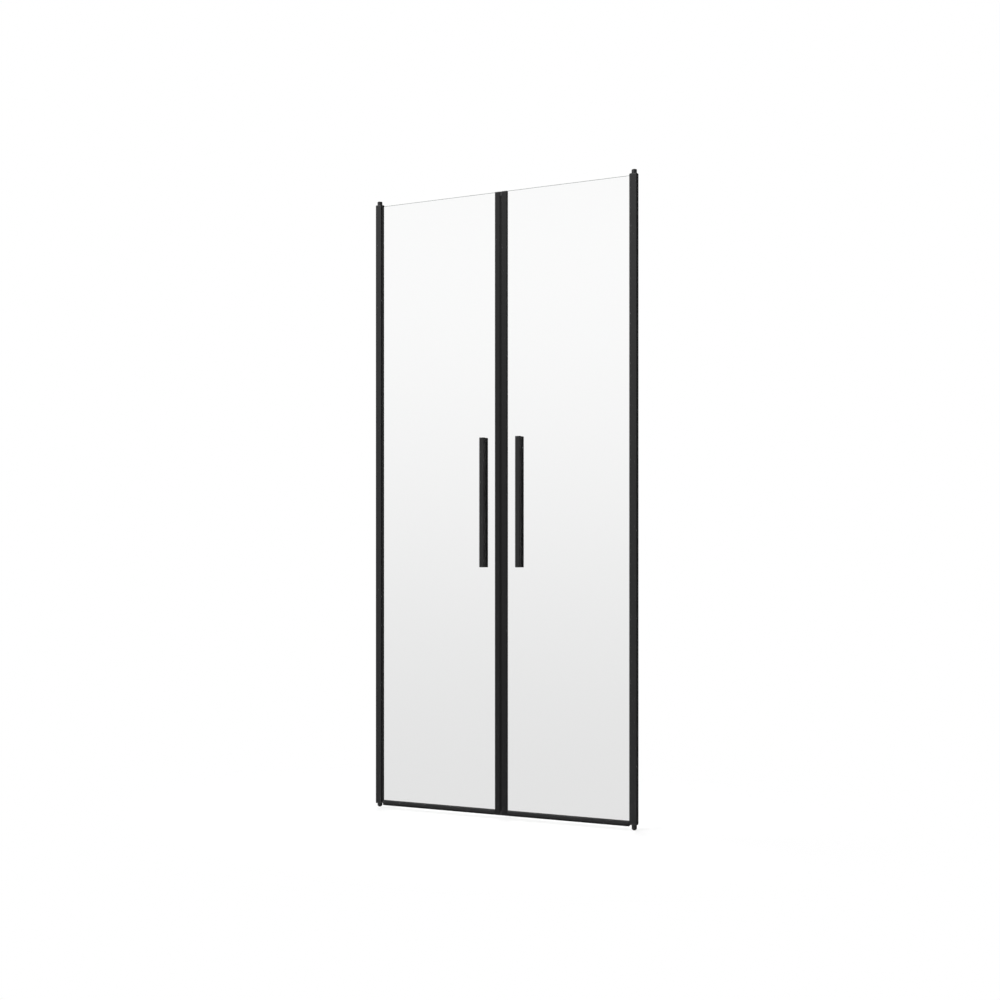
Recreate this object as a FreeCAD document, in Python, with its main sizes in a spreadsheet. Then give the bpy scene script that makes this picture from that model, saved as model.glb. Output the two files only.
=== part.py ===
import FreeCAD, Part
import math
import os
import Sketcher
from types import SimpleNamespace

# A shower door of two glass leaves that swing both ways on corner pivots and meet on magnets.
# X runs along the door from the meeting line, the front faces -Y, Z is up from the shoulders
# of the lower pivot pins, and Y is zero in the middle of the glass. Lengths are millimetres.

SIZES = {
    # Whole door
    "door_width": 900.0,
    "leaf_top": 1944.5,
    "seal_drop": 5.5,
    "leaf_gap": 0.5,
    # Panes
    "glass_thickness": 6.0,
    "glass_arris": 0.6,
    # Rubber strips that bed the panes
    "gasket_wall": 1.2,
    "gasket_base": 1.0,
    "gasket_proud": 0.5,
    # Hinge profile
    "hinge_box_width": 20.5,
    "hinge_depth": 19.0,
    "hinge_wall": 1.6,
    "hinge_web": 1.5,
    "hinge_pocket_recess": 2.0,
    "hinge_flange_length": 3.8,
    "hinge_flange_wall": 1.4,
    "hinge_corner_radius": 1.2,
    # Pivot caps
    "pivot_offset": 10.4,
    "pivot_cap_thickness": 4.3,
    "pivot_cap_gap": 0.4,
    "spigot_clearance": 0.2,
    "spigot_end_wall": 2.6,
    # Pivot bushes
    "bush_length": 22.0,
    "bush_wall": 1.45,
    "bush_seat_clearance": 0.05,
    "thrust_clearance": 0.1,
    # Pivot pins
    "journal_diameter": 8.0,
    "journal_end_gap": 2.0,
    "journal_clearance": 0.05,
    "foot_diameter": 16.0,
    "upper_foot_length": 12.0,
    "upper_foot_chamfer": 1.0,
    "left_lower_foot_length": 11.6,
    "right_lower_foot_length": 15.8,
    "lower_foot_chamfer": 4.0,
    # Meeting profile
    "meeting_setback": 3.5,
    "meeting_width": 17.0,
    "meeting_depth": 12.0,
    "meeting_web": 1.5,
    "meeting_pocket_depth": 10.5,
    "meeting_corner_radius": 0.8,
    "slot_mouth": 5.2,
    "slot_lip": 1.5,
    "slot_width": 8.4,
    # Magnet carrier and magnet
    "carrier_head_depth": 9.2,
    "carrier_clearance": 0.2,
    "carrier_wall": 0.6,
    "carrier_corner_radius": 0.5,
    "magnet_width": 6.2,
    "magnet_thickness": 2.0,
    "magnet_clearance": 0.1,
    # Meeting end caps
    "meeting_cap_thickness": 3.0,
    "meeting_lug_length": 10.0,
    "lug_end_gap": 0.3,
    "glass_notch_clearance": 0.2,
    # Bottom rail
    "rail_height": 10.3,
    "rail_depth": 12.0,
    "rail_shoulder": 7.6,
    "rail_rim": 0.9,
    "rail_web": 1.5,
    "rail_slot_mouth": 4.0,
    "rail_slot_lip": 1.2,
    "rail_slot_width": 7.6,
    "rail_slot_height": 2.8,
    "rail_end_gap": 0.3,
    # Wiper lip
    "wiper_clearance": 0.2,
    "wiper_width": 10.8,
    "wiper_base": 1.2,
    "wiper_fin_tip": 0.7,
    "wiper_fin_root": 1.7,
    # Handle bars
    "handle_length": 408.0,
    "handle_height": 973.5,
    "handle_inset": 62.0,
    "bar_width": 16.8,
    "bar_depth": 13.0,
    "bar_wall": 1.8,
    "bar_corner_radius": 2.0,
    "bar_cap_thickness": 3.0,
    "bar_cap_spigot": 12.0,
    "bar_cap_clearance": 0.15,
    # Handle fixings
    "fixing_inset": 53.0,
    "glass_hole": 12.0,
    "pad_thickness": 0.8,
    "pad_inset": 0.5,
    "pad_gap": 9.0,
    "sleeve_clearance": 0.2,
    "sleeve_wall": 2.6,
    "screw_diameter": 5.0,
    "screw_tip": 1.0,
    "screw_clearance": 0.25,
    "screw_head_diameter": 8.5,
    "screw_head_height": 3.0,
    "screw_socket": 3.6,
    "screw_socket_depth": 1.8,
    "thread_clearance": 0.05,
    "nut_plate_length": 24.0,
    "nut_plate_thickness": 5.0,
    "nut_plate_clearance": 0.4,
    "plug_diameter": 10.0,
    "plug_proud": 0.5,
    "plug_length": 3.4,
    "plug_clearance": 0.05,
    # How far a cut runs past the face that it opens
    "overrun": 1.0,
}


class Length:
    """A length that holds its value and the sheet formula that gives it."""

    def __init__(self, value, formula):
        self.value = value
        self.formula = formula

    def __add__(self, other):
        return Length(self.value + other.value, f"({self.formula} + {other.formula})")

    def __sub__(self, other):
        return Length(self.value - other.value, f"({self.formula} - {other.formula})")

    def __neg__(self):
        return Length(-self.value, f"(-{self.formula})")

    def __mul__(self, share):
        return Length(self.value * share, f"({self.formula} * {share})")

    def __truediv__(self, parts):
        return Length(self.value / parts, f"({self.formula} / {parts})")


ZERO = Length(0.0, "0")
size = SimpleNamespace(**{name: Length(value, f"sizes.{name}") for name, value in SIZES.items()})

document = FreeCAD.newDocument("shower_door")
sheet = document.addObject("Spreadsheet::Sheet", "sizes")
for row, (name, value) in enumerate(SIZES.items(), start=1):
    sheet.set(f"A{row}", name)
    sheet.set(f"B{row}", str(value))
    sheet.setAlias(f"B{row}", name)
document.recompute()

START, FINISH, CENTRE = 1, 2, 3
ORIGIN = -1
TOUCHING = 1e-6
subparts = {}


def new_body(label):
    """Starts a sub-part under the name that a person would use for it."""
    body = document.addObject("PartDesign::Body", label)
    body.Label = label
    subparts[label] = body
    return body


def new_sketch(body, plane, level=ZERO, across=ZERO):
    """Opens a sketch on one of the body's own planes, raised along its normal and shifted across."""
    sketch = body.newObject("Sketcher::SketchObject", f"{body.Name}_outline")
    support = next(item for item in body.Origin.OriginFeatures if item.Role == plane)
    sketch.AttachmentSupport = [(support, "")]
    sketch.MapMode = "FlatFace"
    sketch.setExpression("AttachmentOffset.Base.z", level.formula)
    sketch.setExpression("AttachmentOffset.Base.x", across.formula)
    return sketch


def constrain(sketch, constraint, length):
    """Adds a dimension and ties it to its sheet formula."""
    index = sketch.addConstraint(constraint)
    sketch.setExpression(f"Constraints[{index}]", length.formula)


def place_point(sketch, edge, point, x, y):
    """Dimensions one point of an edge from the sketch's origin."""
    constrain(sketch, Sketcher.Constraint("DistanceX", ORIGIN, START, edge, point, x.value), x)
    constrain(sketch, Sketcher.Constraint("DistanceY", ORIGIN, START, edge, point, y.value), y)


def draw_loop(sketch, points):
    """Draws straight edges round the points and dimensions every corner."""
    corners = [FreeCAD.Vector(x.value, y.value, 0) for x, y in points]
    following = corners[1:] + corners[:1]
    edges = [Part.LineSegment(start, finish) for start, finish in zip(corners, following)]
    numbers = list(sketch.addGeometry(edges, False))
    for number, successor in zip(numbers, numbers[1:] + numbers[:1]):
        sketch.addConstraint(Sketcher.Constraint("Coincident", number, FINISH, successor, START))
    for number, (x, y) in zip(numbers, points):
        place_point(sketch, number, START, x, y)


def draw_circle(sketch, x, y, diameter):
    """Draws a circle with its centre and diameter dimensioned."""
    middle = FreeCAD.Vector(x.value, y.value, 0)
    upward = FreeCAD.Vector(0, 0, 1)
    number = sketch.addGeometry(Part.Circle(middle, upward, diameter.value / 2), False)
    place_point(sketch, number, CENTRE, x, y)
    constrain(sketch, Sketcher.Constraint("Diameter", number, diameter.value), diameter)


def box_loop(x_low, x_high, y_low, y_high):
    """The four corners of a rectangle."""
    return [(x_low, y_low), (x_high, y_low), (x_high, y_high), (x_low, y_high)]


def both_sides(half):
    """Closes a half section, given as (place, half thickness), over the middle of the glass."""
    return half + [(place, -thickness) for place, thickness in reversed(half)]


def on_edge(section):
    """Turns a section so that its places run up the door and its thickness across it."""
    return [(thickness, place) for place, thickness in section]


def pad(sketch, length, reverse=False):
    """Extrudes a sketch from its plane."""
    body = sketch.getParentGeoFeatureGroup()
    feature = body.newObject("PartDesign::Pad", f"{body.Name}_pad")
    feature.Profile = sketch
    feature.Reversed = reverse
    feature.setExpression("Length", length.formula)
    return feature


def cut(sketch, depth, reverse=False):
    """Cuts a sketch out of its body, from its plane against the normal, and checks that it bit."""
    body = sketch.getParentGeoFeatureGroup()
    document.recompute()
    before = body.Shape.Volume
    feature = body.newObject("PartDesign::Pocket", f"{body.Name}_cut")
    feature.Profile = sketch
    feature.Reversed = reverse
    feature.setExpression("Length", depth.formula)
    document.recompute()
    if body.Shape.Volume >= before:
        raise RuntimeError(f"{body.Label}: the cut removes nothing")
    return feature


def turn(sketch):
    """Turns a sketch once round its own upright axis."""
    body = sketch.getParentGeoFeatureGroup()
    feature = body.newObject("PartDesign::Revolution", f"{body.Name}_turn")
    feature.Profile = sketch
    feature.ReferenceAxis = (sketch, ["V_Axis"])
    return feature


def edge_names(shape, wanted):
    """Names the edges whose ends both satisfy a test."""
    picked = []
    for number, edge in enumerate(shape.Edges, start=1):
        if len(edge.Vertexes) > 1 and wanted(edge):
            picked.append(f"Edge{number}")
    return picked


def upright_at(corners):
    """A test for upright edges that stand on the given corners."""
    places = [FreeCAD.Vector(x.value, y.value, 0) for x, y in corners]

    def stands_on_corner(edge):
        low, high = (vertex.Point for vertex in edge.Vertexes)
        foot = FreeCAD.Vector(low.x, low.y, 0)
        upright = foot.isEqual(FreeCAD.Vector(high.x, high.y, 0), TOUCHING)
        return upright and any(foot.isEqual(place, TOUCHING) for place in places)

    return stands_on_corner


def soften(body, kind, amount_name, amount, wanted):
    """Rounds or chamfers the wanted edges of a body."""
    document.recompute()
    base = body.Tip
    picked = edge_names(base.Shape, wanted)
    feature = body.newObject(kind, f"{body.Name}_edges")
    feature.Base = (base, picked)
    feature.setExpression(amount_name, amount.formula)
    return feature


def fillet(body, radius, wanted):
    return soften(body, "PartDesign::Fillet", "Radius", radius, wanted)


def chamfer(body, width, wanted):
    return soften(body, "PartDesign::Chamfer", "Size", width, wanted)


# Places along the left leaf, from its outer face to the meeting line.
outer_face = -(size.door_width / 2)
pivot_axis = outer_face + size.pivot_offset
box_face = outer_face + size.hinge_box_width
hinge_mouth = box_face + size.hinge_flange_length
hinge_floor = box_face - size.hinge_pocket_recess
hinge_glass_edge = hinge_floor + size.gasket_base
handle_line = -size.handle_inset
meeting_face = -size.meeting_setback
meeting_back = meeting_face - size.meeting_width
meeting_floor = meeting_back + size.meeting_pocket_depth
meeting_glass_edge = meeting_floor - size.gasket_base
carrier_face = -(size.leaf_gap / 2)

# The moulded caps have chamfers of this share of a profile's corner radius, which touch its
# round corners in the middle.
round_corner_share = 2 - math.sqrt(2)

# Half thicknesses across the door, from the middle of the glass.
half_glass = size.glass_thickness / 2
half_groove = half_glass + size.gasket_wall
half_flange = half_groove + size.hinge_flange_wall
half_hinge = size.hinge_depth / 2
half_meeting = size.meeting_depth / 2

# Heights above the shoulders of the lower pins.
lower_shoulder = ZERO
lower_cap_face = lower_shoulder + size.pivot_cap_gap
lower_cap_seat = lower_cap_face + size.pivot_cap_thickness
upper_cap_seat = size.leaf_top
upper_cap_face = upper_cap_seat + size.pivot_cap_thickness
upper_shoulder = upper_cap_face + size.pivot_cap_gap
rail_slot_top = size.rail_slot_lip + size.rail_slot_height
rail_floor = rail_slot_top + size.rail_web
glass_bottom = rail_floor + size.gasket_base
seal_bottom = -size.seal_drop
handle_low = size.handle_height - size.handle_length / 2
handle_high = size.handle_height + size.handle_length / 2
fixing_heights = [handle_low + size.fixing_inset, handle_high - size.fixing_inset]


def beyond(level, length, upward):
    """The level that lies a length above or below another."""
    return level + length if upward else level - length


def make_glass(label):
    """The pane: drilled for the handle, its long edges ground to a narrow arris."""
    body = new_body(label)
    sketch = new_sketch(body, "XZ_Plane", level=-half_glass)
    draw_loop(sketch, box_loop(hinge_glass_edge, meeting_glass_edge, glass_bottom, size.leaf_top))
    for height in fixing_heights:
        draw_circle(sketch, handle_line, height, size.glass_hole)
    pad(sketch, size.glass_thickness)

    def bounds_a_face(edge):
        start, finish = (vertex.Point for vertex in edge.Vertexes)
        return abs(start.y - finish.y) < TOUCHING

    chamfer(body, size.glass_arris, bounds_a_face)


def make_gasket(label, section, low, high):
    """A U-shaped rubber strip beside the pane's upright edge."""
    body = new_body(label)
    sketch = new_sketch(body, "XY_Plane", level=low)
    draw_loop(sketch, section)
    pad(sketch, high - low)


# Hinge profile: a box with a round-edged nose, a chamber that wraps the glazing pocket, and
# two flanges that hold the pane.
chamber_start = outer_face + size.hinge_wall
chamber_end = hinge_floor - size.hinge_web
chamber_side = box_face - size.hinge_wall
half_chamber = half_hinge - size.hinge_wall
hinge_corners = both_sides([(outer_face, half_hinge), (box_face, half_hinge)])
hinge_nose = [
    (outer_face, half_hinge),
    (box_face, half_hinge),
    (box_face, half_flange),
    (hinge_mouth, half_flange),
]


def make_hinge_profile(label):
    body = new_body(label)
    sketch = new_sketch(body, "XY_Plane", level=lower_cap_seat)
    pocket = [(hinge_mouth, half_groove), (hinge_floor, half_groove)]
    draw_loop(sketch, both_sides(hinge_nose + pocket))
    chamber = [
        (chamber_start, half_chamber),
        (chamber_side, half_chamber),
        (chamber_side, half_flange),
        (chamber_end, half_flange),
    ]
    draw_loop(sketch, both_sides(chamber))
    pad(sketch, upper_cap_seat - lower_cap_seat)
    fillet(body, size.hinge_corner_radius, upright_at(hinge_corners))


hinge_gasket_section = both_sides([
    (hinge_floor, half_groove),
    (hinge_mouth + size.gasket_proud, half_groove),
    (hinge_mouth + size.gasket_proud, half_glass),
    (hinge_glass_edge, half_glass),
])

# Pivot: a turned pin with a plain journal, a plain bush round it, and a moulded cap that
# carries the bush and plugs the end of the hinge profile.
bush_bore = size.journal_diameter + size.journal_clearance + size.journal_clearance
bush_outside = bush_bore + size.bush_wall + size.bush_wall
bush_seat = bush_outside + size.bush_seat_clearance + size.bush_seat_clearance
bush_proud = size.pivot_cap_gap - size.thrust_clearance
bush_seat_depth = size.bush_length - bush_proud
spigot_length = bush_seat_depth + size.spigot_end_wall - size.pivot_cap_thickness
journal_length = size.thrust_clearance + size.bush_length - size.journal_end_gap


def make_pivot_cap(label, seat, face, upper):
    """An end cap: plate, spigot in the chamber, and a blind bore for the bush."""
    body = new_body(label)
    plate = new_sketch(body, "XY_Plane", level=seat)
    draw_loop(plate, both_sides(hinge_nose))
    pad(plate, size.pivot_cap_thickness, reverse=not upper)
    chamfer(body, size.hinge_corner_radius * round_corner_share, upright_at(hinge_corners))
    spigot = new_sketch(body, "XY_Plane", level=seat)
    spigot_start = chamber_start + size.spigot_clearance
    spigot_end = chamber_end - size.spigot_clearance
    half_spigot = half_chamber - size.spigot_clearance
    draw_loop(spigot, box_loop(spigot_start, spigot_end, -half_spigot, half_spigot))
    pad(spigot, spigot_length, reverse=upper)
    bore = new_sketch(body, "XY_Plane", level=face)
    draw_circle(bore, pivot_axis, ZERO, bush_seat)
    cut(bore, bush_seat_depth, reverse=not upper)


def make_bushes(label):
    """Two plain bearings that stand a little proud of their caps, so the lower one takes the weight."""
    body = new_body(label)
    lower_bush_end = lower_shoulder + size.thrust_clearance
    upper_bush_end = upper_shoulder - size.thrust_clearance
    for low in (lower_bush_end, upper_bush_end - size.bush_length):
        sketch = new_sketch(body, "XY_Plane", level=low)
        for diameter in (bush_outside, bush_bore):
            draw_circle(sketch, pivot_axis, ZERO, diameter)
        pad(sketch, size.bush_length)


def turn_pin(body, axis, shoulder, foot_length, foot_chamfer, upward):
    """A pivot pin: journal on one side of its shoulder, foot with a chamfered end on the other."""
    sketch = new_sketch(body, "XZ_Plane", across=axis)
    foot_radius = size.foot_diameter / 2
    journal_radius = size.journal_diameter / 2
    foot_end = beyond(shoulder, foot_length, not upward)
    journal_end = beyond(shoulder, journal_length, upward)
    draw_loop(sketch, [
        (ZERO, foot_end),
        (foot_radius - foot_chamfer, foot_end),
        (foot_radius, beyond(foot_end, foot_chamfer, upward)),
        (foot_radius, shoulder),
        (journal_radius, shoulder),
        (journal_radius, journal_end),
        (ZERO, journal_end),
    ])
    turn(sketch)


# Meeting profile: a glazing pocket on the pane's side and a T-slot on the side of the other leaf.
slot_inside = meeting_face - size.slot_lip
slot_floor = meeting_floor + size.meeting_web
half_mouth = size.slot_mouth / 2
half_slot = size.slot_width / 2
meeting_corners = both_sides([(meeting_face, half_meeting), (meeting_back, half_meeting)])
meeting_low = seal_bottom + size.meeting_cap_thickness
meeting_high = size.leaf_top - size.meeting_cap_thickness


def make_meeting_profile(label):
    body = new_body(label)
    sketch = new_sketch(body, "XY_Plane", level=meeting_low)
    draw_loop(sketch, both_sides([
        (slot_floor, half_slot),
        (slot_inside, half_slot),
        (slot_inside, half_mouth),
        (meeting_face, half_mouth),
        (meeting_face, half_meeting),
        (meeting_back, half_meeting),
        (meeting_back, half_groove),
        (meeting_floor, half_groove),
    ]))
    pad(sketch, meeting_high - meeting_low)
    fillet(body, size.meeting_corner_radius, upright_at(meeting_corners))


meeting_gasket_section = both_sides([
    (meeting_floor, half_groove),
    (meeting_back - size.gasket_proud, half_groove),
    (meeting_back - size.gasket_proud, half_glass),
    (meeting_glass_edge, half_glass),
])

# Magnet carrier: a head in front of the slot, hollow for the magnet, a neck and a foot in the slot.
half_head = size.carrier_head_depth / 2
carrier_section = both_sides([
    (carrier_face, half_head),
    (meeting_face, half_head),
    (meeting_face, half_mouth - size.carrier_clearance),
    (slot_inside, half_mouth - size.carrier_clearance),
    (slot_inside, half_slot - size.carrier_clearance),
    (slot_floor + size.carrier_clearance, half_slot - size.carrier_clearance),
])
carrier_corners = both_sides([(carrier_face, half_head)])
carrier_low = meeting_low + size.meeting_lug_length + size.lug_end_gap
carrier_high = meeting_high - size.meeting_lug_length - size.lug_end_gap
cavity_front = carrier_face - size.carrier_wall
magnet_front = cavity_front - size.magnet_clearance
magnet_back = magnet_front - size.magnet_thickness
cavity_back = magnet_back - size.magnet_clearance
half_magnet = size.magnet_width / 2
half_cavity = half_magnet + size.magnet_clearance


def make_magnet_carrier(label):
    body = new_body(label)
    sketch = new_sketch(body, "XY_Plane", level=carrier_low)
    draw_loop(sketch, carrier_section)
    draw_loop(sketch, box_loop(cavity_back, cavity_front, -half_cavity, half_cavity))
    pad(sketch, carrier_high - carrier_low)
    fillet(body, size.carrier_corner_radius, upright_at(carrier_corners))


def make_magnet_strip(label):
    body = new_body(label)
    sketch = new_sketch(body, "XY_Plane", level=carrier_low)
    draw_loop(sketch, box_loop(magnet_back, magnet_front, -half_magnet, half_magnet))
    pad(sketch, carrier_high - carrier_low)


def make_meeting_cap(label, seat, upper):
    """A cap on the meeting profile, with a lug that plugs its slot and ends the magnet carrier."""
    body = new_body(label)
    outline = [
        (carrier_face, half_head),
        (meeting_face, half_head),
        (meeting_face, half_meeting),
        (meeting_back, half_meeting),
    ]
    if upper:
        half_notch = half_glass + size.glass_notch_clearance
        outline.append((meeting_back, half_notch))
        outline.append((meeting_glass_edge + size.glass_notch_clearance, half_notch))
    plate = new_sketch(body, "XY_Plane", level=seat)
    draw_loop(plate, both_sides(outline))
    pad(plate, size.meeting_cap_thickness, reverse=not upper)
    chamfer(body, size.meeting_corner_radius * round_corner_share, upright_at(meeting_corners))
    lug = new_sketch(body, "XY_Plane", level=seat)
    draw_loop(lug, carrier_section)
    pad(lug, size.meeting_lug_length, reverse=upper)


# Bottom rail: a glazing pocket with sloping shoulders over a T-slot for the wiper lip.
rail_start = hinge_mouth + size.gasket_proud + size.rail_end_gap
rail_finish = meeting_back - size.gasket_proud - size.rail_end_gap
half_rail = size.rail_depth / 2
half_rail_mouth = size.rail_slot_mouth / 2
half_rail_slot = size.rail_slot_width / 2
half_wiper = size.wiper_width / 2
rail_section = both_sides([
    (rail_slot_top, half_rail_slot),
    (size.rail_slot_lip, half_rail_slot),
    (size.rail_slot_lip, half_rail_mouth),
    (ZERO, half_rail_mouth),
    (ZERO, half_rail),
    (size.rail_shoulder, half_rail),
    (size.rail_height, half_groove + size.rail_rim),
    (size.rail_height, half_groove),
    (rail_floor, half_groove),
])
rail_gasket_section = both_sides([
    (rail_floor, half_groove),
    (size.rail_height + size.gasket_proud, half_groove),
    (size.rail_height + size.gasket_proud, half_glass),
    (glass_bottom, half_glass),
])
wiper_section = both_sides([
    (rail_slot_top - size.wiper_clearance, half_rail_slot - size.wiper_clearance),
    (size.rail_slot_lip, half_rail_slot - size.wiper_clearance),
    (size.rail_slot_lip, half_rail_mouth - size.wiper_clearance),
    (ZERO, half_rail_mouth - size.wiper_clearance),
    (ZERO, half_wiper),
    (seal_bottom, half_wiper),
    (seal_bottom, half_wiper - size.wiper_fin_tip),
    (-size.wiper_base, half_wiper - size.wiper_fin_root),
])


def make_rail_strip(label, section):
    """A strip of one section along the foot of the leaf."""
    body = new_body(label)
    sketch = new_sketch(body, "YZ_Plane", level=rail_start)
    draw_loop(sketch, on_edge(section))
    pad(sketch, rail_finish - rail_start)


# Handle: two square tubes clamped through the pane, closed by caps at their ends.
bar_near = half_glass + size.pad_thickness
bar_far = bar_near + size.bar_depth
bar_seat = bar_near + size.bar_wall
bar_left = handle_line - size.bar_width / 2
bar_right = handle_line + size.bar_width / 2
bar_low = handle_low + size.bar_cap_thickness
bar_high = handle_high - size.bar_cap_thickness
wall_cut = size.bar_wall + size.overrun
thread_bore = size.screw_diameter + size.thread_clearance + size.thread_clearance
screw_hole = size.screw_diameter + size.screw_clearance + size.screw_clearance
screw_end = bar_seat + size.nut_plate_thickness + size.screw_tip
sleeve_outside = size.glass_hole - size.sleeve_clearance - size.sleeve_clearance
sleeve_bore = sleeve_outside - size.sleeve_wall - size.sleeve_wall
plug_body = size.plug_diameter - size.plug_clearance - size.plug_clearance


def to_front(distance):
    return -distance


def to_rear(distance):
    return distance


def bar_loop(side, inset):
    """A bar's outline on one side of the pane, drawn in by an inset."""
    return box_loop(bar_left + inset, bar_right - inset, side(bar_near + inset), side(bar_far - inset))


def bar_outer_corners(side):
    return [(bar_left, side(bar_far)), (bar_right, side(bar_far))]


def fixing_sketch(body, distance, side, diameters):
    """Circles round both fixings, on a plane at a distance from the middle of the glass."""
    sketch = new_sketch(body, "XZ_Plane", level=-side(distance))
    for height in fixing_heights:
        for diameter in diameters:
            draw_circle(sketch, handle_line, height, diameter)
    return sketch


def make_bar(label, side):
    """A square tube with two rounded edges on the outside."""
    body = new_body(label)
    sketch = new_sketch(body, "XY_Plane", level=bar_low)
    draw_loop(sketch, bar_loop(side, ZERO))
    draw_loop(sketch, bar_loop(side, size.bar_wall))
    pad(sketch, bar_high - bar_low)
    fillet(body, size.bar_corner_radius, upright_at(bar_outer_corners(side)))
    return body


def make_front_bar(label):
    body = make_bar(label, to_front)
    cut(fixing_sketch(body, bar_near, to_front, [screw_hole]), wall_cut, reverse=True)


def make_rear_bar(label):
    body = make_bar(label, to_rear)
    cut(fixing_sketch(body, bar_near, to_rear, [screw_hole]), wall_cut)
    cut(fixing_sketch(body, bar_far, to_rear, [size.plug_diameter]), wall_cut, reverse=True)


def make_bar_caps(label):
    """Four caps: a plate of the bar's outline, and a spigot in the tube."""
    body = new_body(label)
    corners = bar_outer_corners(to_front) + bar_outer_corners(to_rear)
    ends = ((bar_low, False), (bar_high, True))
    for level, upper in ends:
        plates = new_sketch(body, "XY_Plane", level=level)
        for side in (to_front, to_rear):
            draw_loop(plates, bar_loop(side, ZERO))
        pad(plates, size.bar_cap_thickness, reverse=not upper)
    chamfer(body, size.bar_corner_radius * round_corner_share, upright_at(corners))
    for level, upper in ends:
        spigots = new_sketch(body, "XY_Plane", level=level)
        for side in (to_front, to_rear):
            draw_loop(spigots, bar_loop(side, size.bar_wall + size.bar_cap_clearance))
        pad(spigots, size.bar_cap_spigot, reverse=upper)


def make_pads(label):
    """Soft strips behind the bars, in three lengths that stop short of the fixings."""
    body = new_body(label)
    lower_fixing, upper_fixing = fixing_heights
    stretches = (
        (handle_low + size.pad_inset, lower_fixing - size.pad_gap),
        (lower_fixing + size.pad_gap, upper_fixing - size.pad_gap),
        (upper_fixing + size.pad_gap, handle_high - size.pad_inset),
    )
    for side, reverse in ((to_front, False), (to_rear, True)):
        sketch = new_sketch(body, "XZ_Plane", level=-side(half_glass))
        for low, high in stretches:
            draw_loop(sketch, box_loop(bar_left + size.pad_inset, bar_right - size.pad_inset, low, high))
        pad(sketch, size.pad_thickness, reverse)


def make_sleeves(label):
    """Spacers through the pane that keep the screws off the glass."""
    body = new_body(label)
    sketch = fixing_sketch(body, bar_near, to_rear, [sleeve_outside, sleeve_bore])
    pad(sketch, bar_near + bar_near)


def make_screws(label):
    """Socket-head screws from the rear bar into the nut plates of the front one."""
    body = new_body(label)
    pad(fixing_sketch(body, bar_seat, to_rear, [size.screw_diameter]), bar_seat + screw_end)
    pad(fixing_sketch(body, bar_seat, to_rear, [size.screw_head_diameter]),
        size.screw_head_height, reverse=True)
    sockets = new_sketch(body, "XZ_Plane", level=-(bar_seat + size.screw_head_height))
    reach = size.screw_socket / math.sqrt(3)
    turns = [math.tau * corner / 6 for corner in range(6)]
    for height in fixing_heights:
        draw_loop(sockets, [
            (handle_line + reach * math.cos(angle), height + reach * math.sin(angle))
            for angle in turns
        ])
    cut(sockets, size.screw_socket_depth, reverse=True)


def make_nut_plates(label):
    """Threaded plates that slide in the front bar's tube."""
    body = new_body(label)
    sketch = fixing_sketch(body, bar_seat, to_front, [thread_bore])
    margin = size.bar_wall + size.nut_plate_clearance
    for height in fixing_heights:
        draw_loop(sketch, box_loop(bar_left + margin, bar_right - margin,
                                   height - size.nut_plate_length / 2, height + size.nut_plate_length / 2))
    pad(sketch, size.nut_plate_thickness)


def make_plugs(label):
    """Plugs that close the screw holes in the rear bar."""
    body = new_body(label)
    sketch = fixing_sketch(body, bar_far + size.plug_proud, to_rear, [plug_body])
    pad(sketch, size.plug_proud + size.plug_length)


# The left leaf, put together from its pane outwards.
make_glass("left_glass")
make_hinge_profile("left_hinge_profile")
make_gasket("left_hinge_gasket", hinge_gasket_section, glass_bottom, size.leaf_top)
make_pivot_cap("left_upper_pivot_cap", upper_cap_seat, upper_cap_face, upper=True)
make_pivot_cap("left_lower_pivot_cap", lower_cap_seat, lower_cap_face, upper=False)
make_bushes("left_pivot_bushes")
make_meeting_profile("left_meeting_profile")
make_gasket("left_meeting_gasket", meeting_gasket_section, glass_bottom, meeting_high)
make_magnet_carrier("left_magnet_carrier")
make_magnet_strip("left_magnet_strip")
make_meeting_cap("left_meeting_top_cap", meeting_high, upper=True)
make_meeting_cap("left_meeting_bottom_cap", meeting_low, upper=False)
make_rail_strip("left_bottom_rail", rail_section)
make_rail_strip("left_rail_gasket", rail_gasket_section)
make_rail_strip("left_wiper_lip", wiper_section)
make_front_bar("left_handle_front_bar")
make_rear_bar("left_handle_rear_bar")
make_bar_caps("left_handle_end_caps")
make_pads("left_handle_pads")
make_sleeves("left_handle_sleeves")
make_screws("left_handle_screws")
make_nut_plates("left_handle_nut_plates")
make_plugs("left_handle_plugs")

# The right leaf is the left one, mirrored in the meeting line.
for label, body in list(subparts.items()):
    twin_label = label.replace("left", "right")
    twin = document.addObject("Part::Mirroring", twin_label)
    twin.Label = twin_label
    twin.Source = body
    twin.Normal = FreeCAD.Vector(1, 0, 0)
    subparts[twin_label] = twin

# The fixed pins that both leaves turn on.
lower_pins = new_body("lower_pins")
turn_pin(lower_pins, pivot_axis, lower_shoulder, size.left_lower_foot_length,
         size.lower_foot_chamfer, upward=True)
turn_pin(lower_pins, -pivot_axis, lower_shoulder, size.right_lower_foot_length,
         size.lower_foot_chamfer, upward=True)
upper_pins = new_body("upper_pins")
for axis in (pivot_axis, -pivot_axis):
    turn_pin(upper_pins, axis, upper_shoulder, size.upper_foot_length,
             size.upper_foot_chamfer, upward=False)

document.recompute()
for item in document.Objects:
    if "Invalid" in item.State or "Error" in item.State:
        raise RuntimeError(f"{item.Label} did not build: {item.State}")
for label, item in subparts.items():
    if item.Shape.isNull() or not item.Shape.isValid() or not item.Shape.Solids:
        raise RuntimeError(f"{label} has no valid solid")

os.makedirs("parts", exist_ok=True)
for label, item in subparts.items():
    item.Shape.exportStep(os.path.join("parts", f"{label}.step"))
print(f"{len(subparts)} sub-parts written")
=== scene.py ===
import math

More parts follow.
